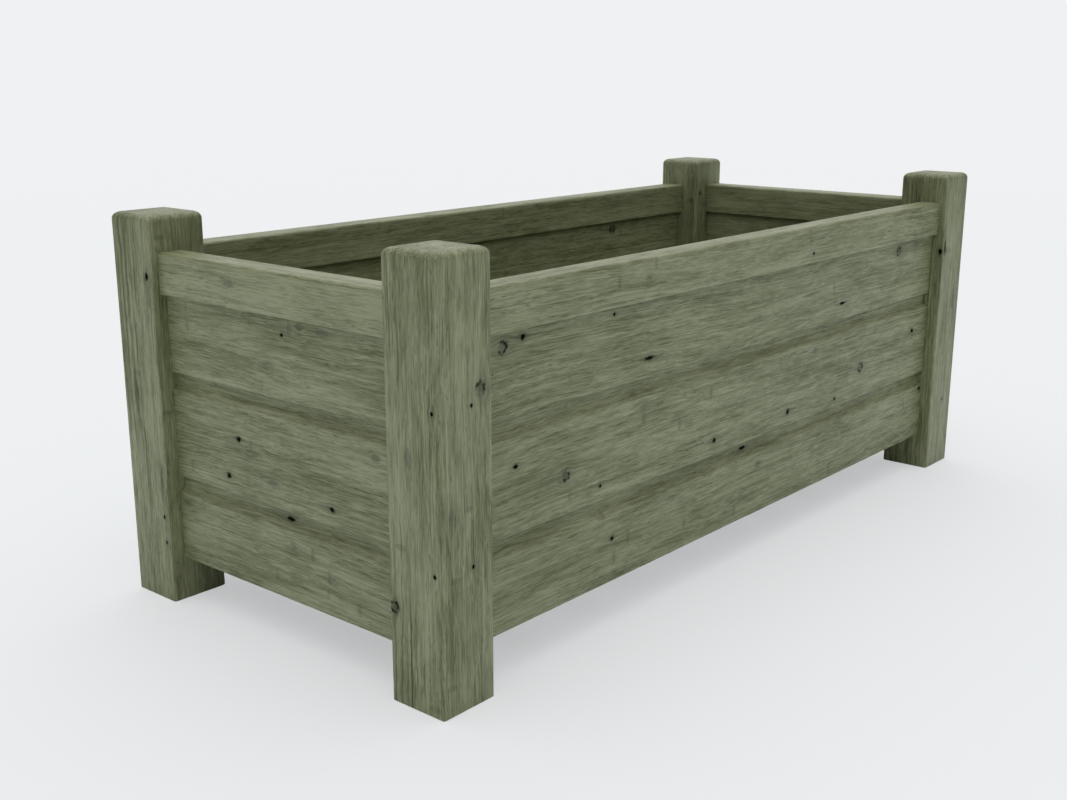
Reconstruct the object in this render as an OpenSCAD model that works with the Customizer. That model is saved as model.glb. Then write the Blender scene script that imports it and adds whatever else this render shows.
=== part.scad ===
// Raised planter. Four corner posts carry a top rail and three lapped boards on each side,
// and run on below the boards as short legs. A slatted floor lies on bearers inside.
// Millimetres, +Z up. The origin is on the ground under the middle of the planter,
// with X along its length.

/* [Overall] */
// Length over the posts
overall_l = 1110; // [800:10:1600]
// Width over the posts
overall_w = 500; // [380:10:800]
// Clear height under the boards
ground_gap = 50; // [30:5:150]
// Height that the posts stand above the rails
post_stand = 40; // [20:5:80]

/* [Posts] */
// Side of the square posts
post_w = 70; // [58:1:95]
// Round on the four top arrises
post_top_r = 10; // [2:1:14]
// Round on the long edges
post_edge_r = 2.5; // [1:0.5:5]

/* [Top rails] */
// Height of the rails
rail_h = 46; // [38:1:60]
// Thickness of the rails
rail_t = 32; // [28:1:38]
// Step from the posts' outer faces back to the rails
rail_setback = 9.5; // [6:0.5:12]
// Round on the rails' top edges
rail_edge_r = 3; // [1:0.5:5]
// Thickness of the tenons
tenon_t = 16; // [10:1:20]
// Step from the rails' top down to the tenons
tenon_shoulder = 5; // [3:1:8]
// Wood left in a post between a mortise and the crossing one
mortise_web = 10; // [6:1:16]

/* [Wall boards] */
// Thickness of the boards
board_t = 18; // [15:0.5:22]
// Step from the posts' outer faces back to the boards
board_setback = 17; // [14:0.5:20]
// Height that shows on the bottom boards
bottom_cover = 98; // [70:1:160]
// Height that shows on the middle boards
middle_cover = 119; // [80:1:160]
// Height that shows on the top boards
top_cover = 87; // [60:1:160]
// Height that each board reaches up behind the one above
lap_h = 43; // [10:1:50]
// Thickness of the lip that laps over the board below
lip_t = 7; // [5:0.5:9]
// Height of the recess along the top of a lower board's face
recess_h = 19; // [14:1:30]
// Radius of the cove between that recess and the face
cove_r = 12; // [8:1:20]
// Round on the lower edge of each board's face
board_edge_r = 1.5; // [0.5:0.5:3]
// Length of the tongues on the boards' ends
end_tongue_l = 11; // [6:1:14]
// Height of the tongues along the tops of the top boards
top_tongue_h = 10; // [6:1:12]

/* [Floor] */
// Width of the bearers
bearer_w = 30; // [25:1:40]
// Height of the bearers
bearer_h = 35; // [25:1:50]
// Step from the boards' bottom edges up to the bearers
bearer_lift = 2; // [0:1:10]
// Thickness of the floor slats
slat_t = 18; // [15:1:25]
// Number of floor slats
slat_n = 10; // [6:1:14]
// Drainage gap between the slats
slat_gap = 10; // [5:1:20]
// Gap round the edge of the floor
floor_edge_gap = 1; // [0.5:0.5:5]

/* [Screws] */
// Diameter of the rail screws
rail_screw_d = 5; // [4:0.5:6]
// Depth that the rail screws go into the tenons
rail_screw_bite = 13; // [8:1:15]
// Height between the two rail screws in a post
rail_screw_step = 12; // [10:1:14]
// Distance of the rail screws from the posts' inner corners
rail_screw_in = 10; // [8:1:12]
// Diameter of the floor screws
floor_screw_d = 4; // [3:0.5:5]
// Depth that the bearer screws go into the boards
bearer_screw_bite = 13; // [8:1:14]
// Depth that the slat screws go into the bearers
slat_screw_bite = 24; // [15:1:25]
// Spacing of the two screws at a slat's end
slat_screw_pitch = 50; // [30:5:60]

/* [Fits] */
// Clearance on each side of a tenon or tongue, and at the ends of boards and bearers
joint_fit = 0.25; // [0.1:0.05:0.5]
// Gap beyond the end of a tenon or tongue
joint_end_gap = 1; // [0.5:0.5:2]
// Gap between a lip and the board behind it
lap_gap = 0.5; // [0.2:0.1:1]
// Extra diameter of the clearance holes
screw_clearance = 0.4; // [0.2:0.1:1]
// Extra diameter of the holes that the threads hold in
thread_fit = 0.1; // [0.05:0.05:0.2]
// Depth of the screw heads below the timber
head_sink = 0.3; // [0.1:0.1:1]

/* [Hidden] */
$fn = 48;
eps = 0.5;

half_l = overall_l / 2;
half_w = overall_w / 2;

// Heights, from the ground up
panel_z0 = ground_gap;
lip_1_z = panel_z0 + bottom_cover;
lip_2_z = lip_1_z + middle_cover;
rail_z0 = lip_2_z + top_cover;
rail_z1 = rail_z0 + rail_h;
post_h = rail_z1 + post_stand;

// Depths from the posts' outer faces
board_inner = board_setback + board_t;
tongue_outer = board_setback + lip_t + lap_gap;
recess_d = tongue_outer - board_setback;
// Height of the cove, whose arc starts upright in the recess and ends at the face
cove_h = sqrt(cove_r * cove_r - pow(cove_r - recess_d, 2));
tenon_mid = rail_setback + rail_t / 2;
tenon_inner = tenon_mid + tenon_t / 2;

// Mortises and tenons
mortise_depth = post_w - tenon_inner - mortise_web;
tenon_l = mortise_depth - joint_end_gap;
rail_groove_h = top_tongue_h + joint_end_gap;
tenon_z0 = rail_z0 + rail_groove_h;
tenon_z1 = rail_z1 - tenon_shoulder;
tenon_mid_z = (tenon_z0 + tenon_z1) / 2;
end_groove_l = end_tongue_l + joint_end_gap;

// Floor
bearer_z0 = panel_z0 + bearer_lift;
bearer_z1 = bearer_z0 + bearer_h;
bearer_mid_z = (bearer_z0 + bearer_z1) / 2;
bearer_mid = board_inner + bearer_w / 2;
floor_half_l = half_l - board_inner - floor_edge_gap;
floor_half_w = half_w - board_inner - floor_edge_gap;
slat_w = (2 * floor_half_l - (slat_n - 1) * slat_gap) / slat_n;
slat_pitch = slat_w + slat_gap;
bay_half_l = half_l - post_w;
bay_half_w = half_w - post_w;
short_bearer_half = min(bay_half_w, half_w - board_inner - bearer_w) - joint_fit;

// Screws, as lengths over all
rail_screw_l = post_w - tenon_inner + rail_screw_bite;
bearer_screw_l = bearer_w + bearer_screw_bite;
slat_screw_l = slat_t + slat_screw_bite;

// Proportions that every screw shares, as shares of its diameter
head_ratio = 1.9;
cone_ratio = 0.5;
tip_ratio = 0.9;
cross_l_ratio = 1;
cross_w_ratio = 0.22;
cross_depth_ratio = 0.5;
// Height of the upright rim round a screw's head
head_rim_h = 0.3;

stain = [0.44, 0.46, 0.37];
stain_dark = [0.40, 0.42, 0.33];
floor_wood = [0.50, 0.45, 0.33];
steel = [0.70, 0.70, 0.66];

ENDS = [-1, 1];
CORNERS = [
    ["post_front_left", -1, -1],
    ["post_front_right", 1, -1],
    ["post_back_left", -1, 1],
    ["post_back_right", 1, 1]
];
LONG_SIDES = [["front", -1], ["back", 1]];
SHORT_SIDES = [["left", -1], ["right", 1]];
LEVELS = ["bottom", "middle", "top"];

// ---- Places ----

// Centre of a slat, counted from the left
function slat_x(i) = -floor_half_l + slat_w / 2 + (i - 1) * slat_pitch;
// Middle of the gap that follows a slat
function gap_x(i) = slat_x(i) + slat_pitch / 2;
function is_end_slat(i) = i == 1 || i == slat_n;
// Where an end slat's screws meet the long bearers: midway along its stretch between post and gap
function end_slat_x(i) = sign(slat_x(i)) * (bay_half_l + abs(slat_x(i)) - slat_w / 2) / 2;
// The four screws of a slat, as points on its top face
function slat_screws_at(i) = is_end_slat(i)
    ? concat(
        [for (s = ENDS) [end_slat_x(i), s * (half_w - bearer_mid)]],
        [for (s = ENDS) [sign(slat_x(i)) * (half_l - bearer_mid), s * bay_half_w / 2]])
    : [for (s = ENDS) for (t = ENDS) [slat_x(i) + t * slat_screw_pitch / 2, s * (half_w - bearer_mid)]];
// Screws of a long bearer stand under every other gap, clear of the slat screws
LONG_BEARER_SCREWS = [for (i = [1:2:slat_n - 1]) gap_x(i)];
SHORT_BEARER_SCREWS = [for (t = [-1:1]) t * bay_half_w * 2 / 3];

// ---- Frames ----

// Turns a piece drawn for the front left corner, with its outer corner at the origin, to a corner
module at_corner(sx, sy) {
    mirror([sx > 0 ? 1 : 0, 0, 0])
        mirror([0, sy > 0 ? 1 : 0, 0])
            translate([-half_l, -half_w, 0])
                children();
}

// Turns a piece drawn along X, with the posts' outer faces at y = 0, to a long side
module at_long_side(s) {
    mirror([0, s > 0 ? 1 : 0, 0])
        translate([0, -half_w, 0])
            children();
}

// The same for a short side
module at_short_side(s) {
    mirror([s > 0 ? 1 : 0, 0, 0])
        translate([-half_l, 0, 0])
            mirror([1, -1, 0])
                children();
}

// Carries a section drawn in depth and height along X, centred
module along_x(length) {
    translate([-length / 2, 0, 0])
        rotate([90, 0, 90])
            linear_extrude(length)
                children();
}

// ---- Sections ----

// A square with its four corners rounded
module rounded_square(side, r) {
    translate([r, 0])
        square([side - 2 * r, side]);
    translate([0, r])
        square([side, side - 2 * r]);
    for (x = [r, side - r])
        for (y = [r, side - r])
            translate([x, y])
                circle(r);
}

// A rectangle that stands on y = 0 with its top corners rounded
module round_topped(w, h, r) {
    square([w, h - r]);
    translate([r, 0])
        square([w - 2 * r, h]);
    for (x = [r, w - r])
        translate([x, h - r])
            circle(r);
}

// The waste at a square corner with a radius of r inside it, the corner at the origin
module corner_waste(r) {
    difference() {
        translate([-eps, -eps])
            square(r + eps);
        translate([r, r])
            circle(r);
    }
}

// ---- Screws ----

// A countersunk screw, with the top of its head at the origin and its tip down -Z
module screw(d, length) {
    head_r = d * head_ratio / 2;
    cone_h = d * cone_ratio;
    tip_h = d * tip_ratio;
    cross_l = d * cross_l_ratio;
    cross_w = d * cross_w_ratio;
    shank_h = length - tip_h - head_rim_h - cone_h;
    difference() {
        union() {
            translate([0, 0, -head_rim_h])
                cylinder(h = head_rim_h, r = head_r);
            translate([0, 0, -head_rim_h - cone_h])
                cylinder(h = cone_h, r1 = d / 2, r2 = head_r);
            translate([0, 0, tip_h - length])
                cylinder(h = shank_h, r = d / 2);
            translate([0, 0, -length])
                cylinder(h = tip_h, r1 = cross_w / 2, r2 = d / 2);
        }
        for (turn = [0, 90])
            rotate([0, 0, turn])
                translate([-cross_l / 2, -cross_w / 2, -d * cross_depth_ratio])
                    cube([cross_l, cross_w, d]);
    }
}

// The hole for that screw through the first piece: clearance, then the seat of the head's cone
module clearance_hole(d, depth) {
    head_r = d * head_ratio / 2;
    cone_h = d * cone_ratio;
    seat_z = -head_sink - head_rim_h;
    translate([0, 0, -depth])
        cylinder(h = depth + eps, r = (d + screw_clearance) / 2);
    translate([0, 0, seat_z - cone_h])
        cylinder(h = cone_h, r1 = d / 2, r2 = head_r);
    translate([0, 0, seat_z])
        cylinder(h = eps - seat_z, r = head_r + screw_clearance / 2);
}

// The hole that the threads hold in, from a given depth below the face to just past the tip
module thread_hole(d, from, length) {
    translate([0, 0, -length - eps])
        cylinder(h = length + eps - from + eps, r = (d + thread_fit) / 2);
}

// ---- Posts ----

// What one side of the planter cuts out of a post, drawn for the long side
module post_joints(screw_z) {
    // Groove for the boards' end tongues
    translate([post_w - end_groove_l, tongue_outer - joint_fit, panel_z0])
        cube([end_groove_l + eps, board_inner - tongue_outer + 2 * joint_fit, tenon_z0 - panel_z0]);
    // Mortise for the rail's tenon
    translate([post_w - mortise_depth, tenon_mid - tenon_t / 2 - joint_fit, tenon_z0 - joint_fit])
        cube([mortise_depth + eps, tenon_t + 2 * joint_fit, tenon_z1 - tenon_z0 + 2 * joint_fit]);
    // Hole for the screw that pins the tenon
    translate([post_w - rail_screw_in, post_w, screw_z])
        rotate([-90, 0, 0])
            clearance_hole(rail_screw_d, post_w - tenon_inner);
}

module post(sx, sy) {
    color(stain)
        at_corner(sx, sy)
            difference() {
                intersection() {
                    linear_extrude(post_h)
                        rounded_square(post_w, post_edge_r);
                    translate([0, post_w, 0])
                        rotate([90, 0, 0])
                            linear_extrude(post_w)
                                round_topped(post_w, post_h, post_top_r);
                    rotate([90, 0, 90])
                        linear_extrude(post_w)
                            round_topped(post_w, post_h, post_top_r);
                }
                post_joints(tenon_mid_z + rail_screw_step / 2);
                mirror([1, -1, 0])
                    post_joints(tenon_mid_z - rail_screw_step / 2);
            }
}

// ---- Top rails ----

// A rail of the long side, with the distance between its posts
module rail(bay, screw_z) {
    color(stain)
        difference() {
            union() {
                along_x(bay)
                    rail_section();
                translate([-bay / 2 - tenon_l, tenon_mid - tenon_t / 2, tenon_z0])
                    cube([bay + 2 * tenon_l, tenon_t, tenon_z1 - tenon_z0]);
            }
            for (s = ENDS)
                translate([s * (bay / 2 + rail_screw_in), post_w, screw_z])
                    rotate([-90, 0, 0])
                        thread_hole(rail_screw_d, post_w - tenon_inner, rail_screw_l);
        }
}

module rail_section() {
    difference() {
        translate([rail_setback, rail_z0])
            round_topped(rail_t, rail_h, rail_edge_r);
        translate([tongue_outer - joint_fit, rail_z0 - eps])
            square([board_inner - tongue_outer + 2 * joint_fit, rail_groove_h + eps]);
    }
}

// ---- Wall boards ----

// Section of a board whose face shows from z0 up to z1. A lapping board is rebated behind its
// lip, and stands on the board below. A lapped board has a recess and a thin upper part, and a
// top board has a thin tongue for the rail's groove instead.
module board_section(z0, z1, lapping, lapped) {
    top_z = z1 + (lapped ? lap_h : top_tongue_h);
    thin_z = lapped ? z1 - recess_h + cove_h : z1;
    difference() {
        translate([board_setback, z0])
            square([board_t, top_z - z0]);
        translate([board_setback, z0])
            corner_waste(board_edge_r);
        if (lapping)
            translate([board_setback + lip_t, z0 - eps])
                square([board_t, lap_h + eps]);
        translate([board_setback - eps, thin_z])
            square([recess_d + eps, top_z - thin_z + eps]);
        if (lapped)
            intersection() {
                translate([tongue_outer - cove_r, thin_z])
                    circle(cove_r);
                translate([board_setback - eps, thin_z - cove_h])
                    square([board_t, cove_h + eps]);
            }
    }
}

// A board of the long side. Only its inner thickness runs on as tongues into the posts. The
// bottom board takes the bearer's screws, at the places given.
module board(bay, level, screws_x) {
    z0 = [panel_z0, lip_1_z, lip_2_z][level];
    z1 = [lip_1_z, lip_2_z, rail_z0][level];
    shoulder = bay / 2 - joint_fit;
    waste_l = end_tongue_l + 2 * eps;
    color(level == 1 ? stain_dark : stain)
        difference() {
            along_x(bay + 2 * end_tongue_l)
                board_section(z0, z1, level > 0, level < 2);
            for (x = [-shoulder - waste_l, shoulder])
                translate([x, board_setback - eps, z0 - eps])
                    cube([waste_l, recess_d + eps, z1 + lap_h + 2 * eps - z0]);
            if (level == 0)
                for (x = screws_x)
                    translate([x, board_inner + bearer_w, bearer_mid_z])
                        rotate([-90, 0, 0])
                            thread_hole(floor_screw_d, bearer_w, bearer_screw_l);
        }
}

// ---- Floor ----

// A bearer of the long side, before the slat screws' holes
module bearer(half, screws_x) {
    difference() {
        translate([-half, board_inner, bearer_z0])
            cube([2 * half, bearer_w, bearer_h]);
        for (x = screws_x)
            translate([x, board_inner + bearer_w, bearer_mid_z])
                rotate([-90, 0, 0])
                    clearance_hole(floor_screw_d, bearer_w + eps);
    }
}

// The threads' holes of every slat screw, which each bearer takes its own from
module slat_thread_holes() {
    for (i = [1:slat_n])
        for (p = slat_screws_at(i))
            translate([p[0], p[1], bearer_z1 + slat_t])
                thread_hole(floor_screw_d, slat_t, slat_screw_l);
}

module long_bearer(s) {
    color(floor_wood)
        difference() {
            at_long_side(s)
                bearer(bay_half_l - joint_fit, LONG_BEARER_SCREWS);
            slat_thread_holes();
        }
}

module short_bearer(s) {
    color(floor_wood)
        difference() {
            at_short_side(s)
                bearer(short_bearer_half, SHORT_BEARER_SCREWS);
            slat_thread_holes();
        }
}

// A floor slat. The two end slats are notched round the posts.
module floor_slat(i) {
    color(floor_wood)
        difference() {
            translate([slat_x(i) - slat_w / 2, -floor_half_w, bearer_z1])
                cube([slat_w, 2 * floor_half_w, slat_t]);
            for (p = slat_screws_at(i))
                translate([p[0], p[1], bearer_z1 + slat_t])
                    clearance_hole(floor_screw_d, slat_t + eps);
            for (sx = ENDS)
                for (sy = ENDS)
                    at_corner(sx, sy)
                        translate([0, 0, bearer_z1 - eps])
                            cube([post_w + floor_edge_gap, post_w + floor_edge_gap, slat_t + 2 * eps]);
        }
}

// ---- Fastenings ----

module rail_screws() {
    color(steel)
        for (c = CORNERS)
            at_corner(c[1], c[2]) {
                rail_screw(tenon_mid_z + rail_screw_step / 2);
                mirror([1, -1, 0])
                    rail_screw(tenon_mid_z - rail_screw_step / 2);
            }
}

module rail_screw(z) {
    translate([post_w - rail_screw_in, post_w - head_sink, z])
        rotate([-90, 0, 0])
            screw(rail_screw_d, rail_screw_l - head_sink);
}

module bearer_screws() {
    color(steel) {
        for (side = LONG_SIDES)
            at_long_side(side[1])
                bearer_screw_row(LONG_BEARER_SCREWS);
        for (side = SHORT_SIDES)
            at_short_side(side[1])
                bearer_screw_row(SHORT_BEARER_SCREWS);
    }
}

module bearer_screw_row(places) {
    for (x = places)
        translate([x, board_inner + bearer_w - head_sink, bearer_mid_z])
            rotate([-90, 0, 0])
                screw(floor_screw_d, bearer_screw_l - head_sink);
}

module slat_screws() {
    color(steel)
        for (i = [1:slat_n])
            for (p = slat_screws_at(i))
                translate([p[0], p[1], bearer_z1 + slat_t - head_sink])
                    screw(floor_screw_d, slat_screw_l - head_sink);
}

// ---- Assembly ----

for (c = CORNERS)
    post(c[1], c[2]);

for (s = LONG_SIDES) {
    at_long_side(s[1]) rail(2 * bay_half_l, tenon_mid_z + rail_screw_step / 2);
    for (level = [0:2])
        at_long_side(s[1]) board(2 * bay_half_l, level, LONG_BEARER_SCREWS);
    long_bearer(s[1]);
}

for (s = SHORT_SIDES) {
    at_short_side(s[1]) rail(2 * bay_half_w, tenon_mid_z - rail_screw_step / 2);
    for (level = [0:2])
        at_short_side(s[1]) board(2 * bay_half_w, level, SHORT_BEARER_SCREWS);
    short_bearer(s[1]);
}

for (i = [1:slat_n])
    floor_slat(i);

rail_screws();
bearer_screws();
slat_screws();
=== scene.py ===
"""Looks of a raised planter: stained softwood posts, rails and lapped boards round a slatted floor.

Every timber is a surface worked out as arrays: an outline carried along its length, with worn
arrises and the slight unevenness of planed wood. The joints are cut into it afterwards. Metres,
+Z up, X along the planter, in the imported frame.
"""

import logging
import math
from dataclasses import dataclass, field
from enum import Enum

import bmesh
import bpy
import numpy as np
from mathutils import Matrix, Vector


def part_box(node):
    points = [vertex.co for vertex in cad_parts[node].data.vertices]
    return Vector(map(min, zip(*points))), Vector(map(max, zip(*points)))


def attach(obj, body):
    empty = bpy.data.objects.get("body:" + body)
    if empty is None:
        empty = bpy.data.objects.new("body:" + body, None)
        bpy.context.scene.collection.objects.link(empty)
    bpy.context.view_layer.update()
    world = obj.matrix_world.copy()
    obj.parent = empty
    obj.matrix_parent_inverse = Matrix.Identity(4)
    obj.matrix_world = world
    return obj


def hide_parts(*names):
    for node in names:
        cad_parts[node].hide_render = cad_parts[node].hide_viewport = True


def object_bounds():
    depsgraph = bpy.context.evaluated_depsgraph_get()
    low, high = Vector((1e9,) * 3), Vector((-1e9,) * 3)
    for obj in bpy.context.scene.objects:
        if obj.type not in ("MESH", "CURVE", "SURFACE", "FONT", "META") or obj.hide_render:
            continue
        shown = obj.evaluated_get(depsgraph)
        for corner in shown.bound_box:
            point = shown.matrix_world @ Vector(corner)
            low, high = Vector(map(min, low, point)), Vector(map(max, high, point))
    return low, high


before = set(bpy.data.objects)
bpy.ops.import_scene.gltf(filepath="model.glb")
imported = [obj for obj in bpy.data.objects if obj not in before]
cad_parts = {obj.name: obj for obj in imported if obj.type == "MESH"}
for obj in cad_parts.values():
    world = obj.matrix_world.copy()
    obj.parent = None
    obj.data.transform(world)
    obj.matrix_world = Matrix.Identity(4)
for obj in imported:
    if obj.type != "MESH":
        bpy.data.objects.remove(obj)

CAD_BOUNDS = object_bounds()
FAR = np.array(CAD_BOUNDS[1])
LOG = logging.getLogger("planter")
MM = 0.001
BODY = "root"

DOUBLED = 0.004 * MM
COLLAPSED = 0.002 * MM
SLIVER = 0.01 * MM
SHARP_RADIUS = 0.3 * MM
ARC_STEP = 18
SIDE_SHARE = 0.45
SHARP_ANGLE = math.radians(32)
FINE_WAVES = 0.35

Colour = tuple[float, float, float]
Point = tuple[float, float, float]
Pair = tuple[float, float]


# ---- Outlines and surfaces ----


def waves(rng: np.random.Generator, a: np.ndarray, b: np.ndarray, length: float,
          width: float) -> np.ndarray:
    """Smooth unevenness: the mean of sine waves of random slope and phase.

    Args:
        rng: Source of the slopes and phases.
        a: Places along the grain.
        b: Places across it, of a shape that goes with a.
        length: Usual distance between crests along the grain.
        width: Usual distance between crests across it.

    Returns:
        Values that mostly stay between -1 and 1.
    """
    count = 7
    slope_a = rng.normal(size=count) / length
    slope_b = rng.normal(size=count) / width
    phase = rng.random(count)
    turns = a[..., None] * slope_a + b[..., None] * slope_b + phase
    return np.sin(2 * np.pi * turns).mean(axis=-1) * math.sqrt(count / 2)


def planed(rng: np.random.Generator, along: np.ndarray, turn: np.ndarray, radius: float,
           broad: Pair, fine: Pair) -> np.ndarray:
    """How far a planed surface lies under its ideal one, from 0 to 1.

    A half, plus broad waves and weaker fine ones of the place along the timber and round it.

    Args:
        rng: Source of the waves.
        along: Places along the timber.
        turn: Places round it, as angles.
        radius: Radius of a circle about as long as the outline.
        broad: Usual distances between the broad waves' crests, along the grain and across it.
        fine: The same for the fine waves.

    Returns:
        The depths, to be multiplied by the greatest one.
    """
    slow = waves(rng, along, radius * np.sin(turn), *broad)
    slow = slow + FINE_WAVES * waves(rng, along, radius * np.cos(turn), *fine)
    return np.clip(0.5 + 0.4 * slow, 0, 1)


def spread(low: float, high: float, step: float) -> np.ndarray:
    """Evenly spaced places from low to high, about a step apart."""
    return np.linspace(low, high, max(2, round(abs(high - low) / step) + 1))


def double_area(points: np.ndarray) -> float:
    """Twice the area inside a closed outline, which is negative where it runs clockwise."""
    ahead = np.roll(points, -1, axis=0)
    return np.sum(points[:, 0] * ahead[:, 1] - ahead[:, 0] * points[:, 1])


@dataclass(frozen=True)
class Corner:
    """A corner of a timber's section, in metres across the face and in depth behind it."""

    across: float
    depth: float
    radius: float = 0.6 * MM


def cove(foot: float, setback: float, recess: float, radius: float) -> list[Corner]:
    """The hollow at the foot of a board's recess, from the board's face up to the recess.

    An arc of the radius, whose centre stands in front of the recess at the arc's own height,
    so that it runs into the recess smoothly. Its points are the centre less the radius times the
    sine up the board, and plus the cosine in depth.

    Args:
        foot: Height at which the hollow starts on the face.
        setback: Depth of the face.
        recess: Depth of the recess.
        radius: The arc's radius.

    Returns:
        Corners in order up the board.
    """
    rise = math.sqrt(radius ** 2 - (radius - (recess - setback)) ** 2)
    start = math.asin(rise / radius)
    arc = [Corner(foot + rise - radius * math.sin(t), recess - radius + radius * math.cos(t), 0.0)
           for t in np.linspace(start, 0, 9)]
    return [Corner(arc[0].across, arc[0].depth, 1.5 * MM), *arc[1:]]


def rounded_outline(corners: list[Corner], step: float) -> tuple[np.ndarray, np.ndarray]:
    """A closed outline with an arc in each corner and even points between them.

    Each arc touches both sides of its corner, at a distance of the radius times the tangent of
    half the turn, or at most a share of the shorter side. A very small arc is one straight cut.

    Args:
        corners: The corners in order round the section.
        step: Spacing of the points along the straight runs.

    Returns:
        The points as (n, 2), and how far each is round an outer arris, from 0 to 1, as (n,).
    """
    spots = np.array([[c.across, c.depth] for c in corners])
    area = double_area(spots)
    arcs = []
    for i, corner in enumerate(corners):
        before = spots[i] - spots[i - 1]
        after = spots[(i + 1) % len(corners)] - spots[i]
        u = before / np.linalg.norm(before)
        v = after / np.linalg.norm(after)
        turn = math.atan2(u[0] * v[1] - u[1] * v[0], u @ v)
        slope = abs(math.tan(turn / 2))
        shorter = min(np.linalg.norm(before), np.linalg.norm(after))
        reach = min(corner.radius * slope, SIDE_SHARE * shorter)
        radius = reach / max(slope, 1e-6)
        pieces = max(1, round(abs(math.degrees(turn)) / ARC_STEP)) if radius > SHARP_RADIUS else 1
        side = math.copysign(1, turn)
        inward = np.array([-u[1], u[0]]) * side
        centre = spots[i] - u * reach + inward * radius
        t = np.linspace(0, turn, pieces + 1)
        start = -inward
        turned = np.stack([start[0] * np.cos(t) - start[1] * np.sin(t),
                           start[0] * np.sin(t) + start[1] * np.cos(t)], axis=1)
        bulge = np.sin(np.linspace(0, math.pi, pieces + 1)) if turn * area > 0 else np.zeros(pieces + 1)
        arcs.append((centre + radius * turned, bulge))
    points, bulges = [], []
    for i, (arc, bulge) in enumerate(arcs):
        following = arcs[(i + 1) % len(arcs)][0][0]
        gap = np.linalg.norm(following - arc[-1])
        between = np.linspace(0, 1, max(1, round(gap / step)) + 1)[1:-1, None]
        points += [arc, arc[-1] + (following - arc[-1]) * between]
        bulges += [bulge, np.zeros(len(between))]
    return np.concatenate(points), np.concatenate(bulges)


def rectangle(across: Pair, depth: Pair, radius: float) -> list[Corner]:
    """The four corners of a rectangle, all of one radius."""
    return [Corner(across[0], depth[0], radius), Corner(across[1], depth[0], radius),
            Corner(across[1], depth[1], radius), Corner(across[0], depth[1], radius)]


def grid_faces(rows: int, columns: int) -> np.ndarray:
    """Quads of a grid of points that closes on itself along its rows, as (n, 4) indices."""
    i, j = np.meshgrid(np.arange(rows - 1), np.arange(columns), indexing="ij")
    ahead = (j + 1) % columns
    this, following = i * columns, (i + 1) * columns
    return np.stack([this + j, this + ahead, following + ahead, following + j], axis=-1).reshape(-1, 4)


def closed_mesh(name: str, points: np.ndarray) -> bpy.types.Object:
    """A closed piece from rings of points, with a flat cap over its first and last ring.

    Args:
        name: Name of the new object.
        points: Rings in order, as (rings, points in a ring, 3).

    Returns:
        The object, at the origin, with doubled points merged and faces outward.
    """
    rows, columns = points.shape[:2]
    quads = grid_faces(rows, columns).tolist()
    first = list(range(columns))
    last = list(range((rows - 1) * columns, rows * columns))
    mesh = bpy.data.meshes.new(name)
    mesh.from_pydata(points.reshape(-1, 3).tolist(), [], quads + [first[::-1], last])
    work = bmesh.new()
    work.from_mesh(mesh)
    bmesh.ops.remove_doubles(work, verts=work.verts, dist=DOUBLED)
    bmesh.ops.dissolve_degenerate(work, edges=work.edges, dist=COLLAPSED)
    bmesh.ops.recalc_face_normals(work, faces=work.faces)
    work.to_mesh(mesh)
    work.free()
    piece = bpy.data.objects.new(name, mesh)
    bpy.context.scene.collection.objects.link(piece)
    return piece


# ---- Where a timber lies ----


@dataclass(frozen=True)
class Lie:
    """How a timber lies: its origin, and the directions along its grain, across its face and into it."""

    origin: Point
    along: Point
    across: Point
    depth: Point

    def axes(self) -> np.ndarray:
        """The three directions as the rows of a matrix."""
        return np.array([self.along, self.across, self.depth])

    def place(self, local: np.ndarray) -> np.ndarray:
        """Turns points given along, across and in depth into points of the frame."""
        return np.array(self.origin) + local @ self.axes()

    def place_rings(self, along: np.ndarray, sections: np.ndarray) -> np.ndarray:
        """Turns a section for each place along, as (n, points, 2), into rings of points of the frame."""
        places = np.broadcast_to(along[:, None, None], (*sections.shape[:2], 1))
        return self.place(np.concatenate([places, sections], axis=2))

    def local(self, points: np.ndarray) -> np.ndarray:
        """Turns points of the frame into points given along, across and in depth."""
        return (points - np.array(self.origin)) @ self.axes().T


class Side(Enum):
    """A side of the planter, as its outward direction."""

    FRONT = (0, -1)
    BACK = (0, 1)
    LEFT = (-1, 0)
    RIGHT = (1, 0)

    @property
    def word(self) -> str:
        """The side's name in the nodes' names."""
        return self.name.lower()

    @property
    def is_long(self) -> bool:
        """Whether the side runs along the planter."""
        return self.value[0] == 0

    def lie(self) -> Lie:
        """A lie whose origin is on the ground in the middle of the posts' outer faces on this side."""
        x, y = self.value
        return Lie(origin=(x * FAR[0], y * FAR[1], 0.0), along=(-y, x, 0), across=(0, 0, 1),
                   depth=(-x, -y, 0))


# ---- Shader node groups ----


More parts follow.
